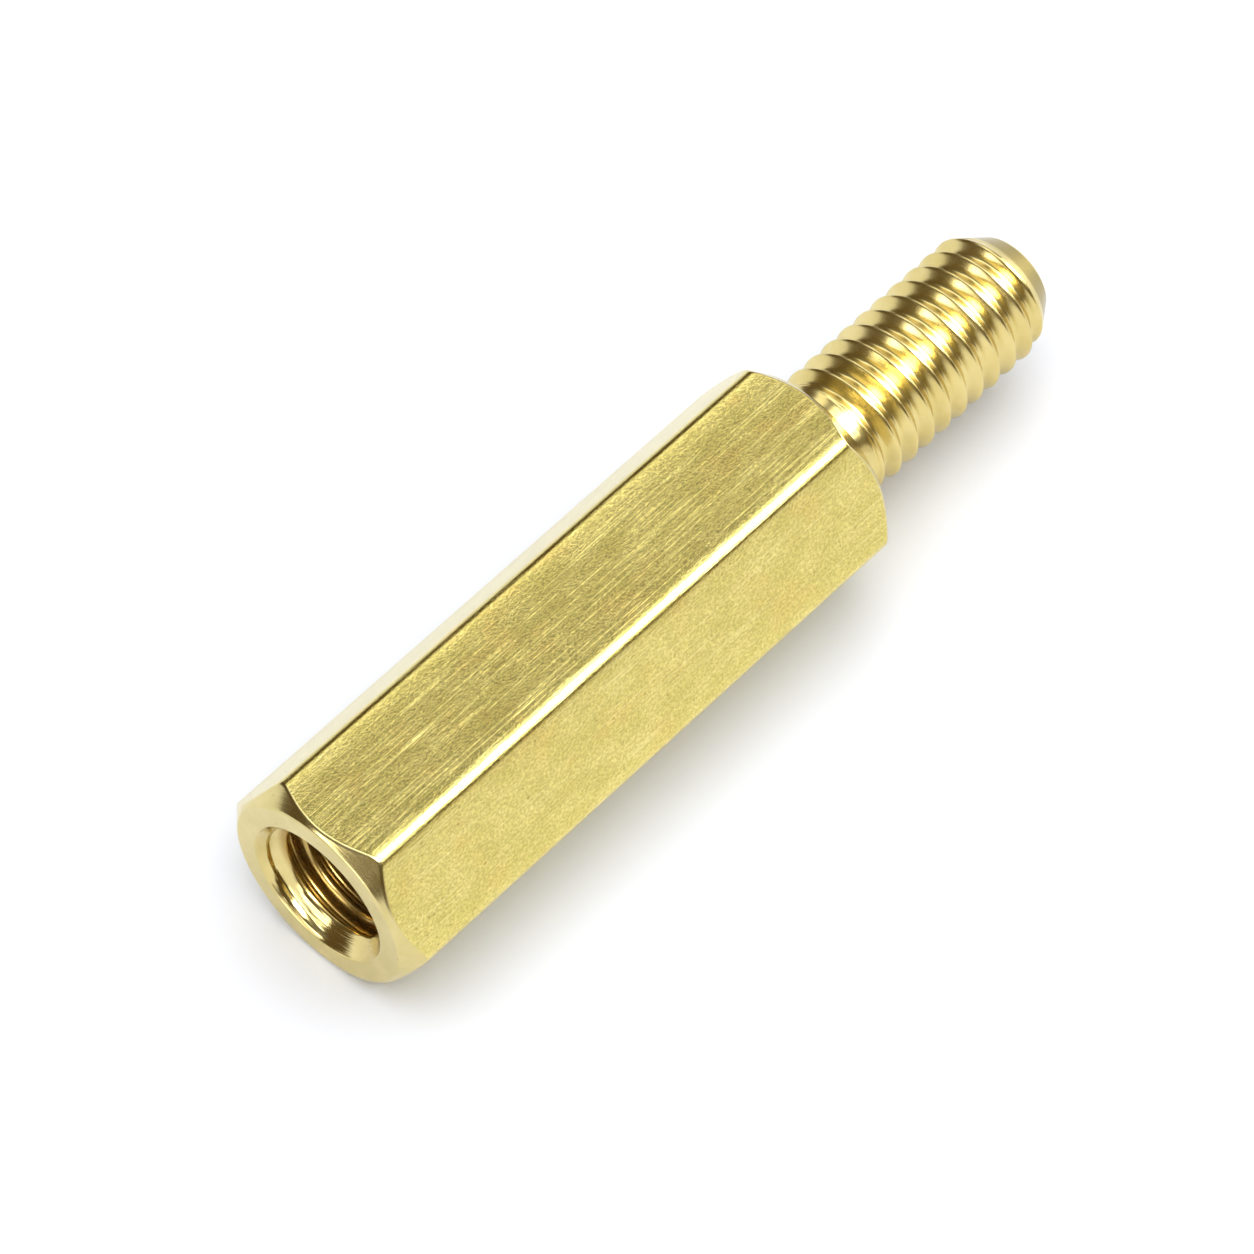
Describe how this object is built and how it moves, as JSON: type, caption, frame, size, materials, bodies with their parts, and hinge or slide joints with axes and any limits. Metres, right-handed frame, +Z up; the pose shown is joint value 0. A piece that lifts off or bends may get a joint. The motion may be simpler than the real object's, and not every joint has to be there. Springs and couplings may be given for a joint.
{
  "type": "hex standoff",
  "caption": "Male-female hexagonal brass standoff: a threaded stud at one end, a blind tapped hole at the other, for spacing a circuit board off its base.",
  "frame": {"origin": "on the surface the part lies on, under the middle of its overall length", "axes": "+X along the axis from the tapped end face to the tip of the stud, +Y across the part, +Z up out of the surface; the hexagon lies on one flat and the axis is 2.225 mm above it"},
  "size_m": [0.0204, 0.005, 0.0044],
  "materials": {
    "turned_brass": "drawn flats with fine lengthwise lines, bright turned ends and rolled stud thread, no plating"
  },
  "bodies": {
    "root": {"standoff": "turned_brass"}
  },
  "joints": []
}
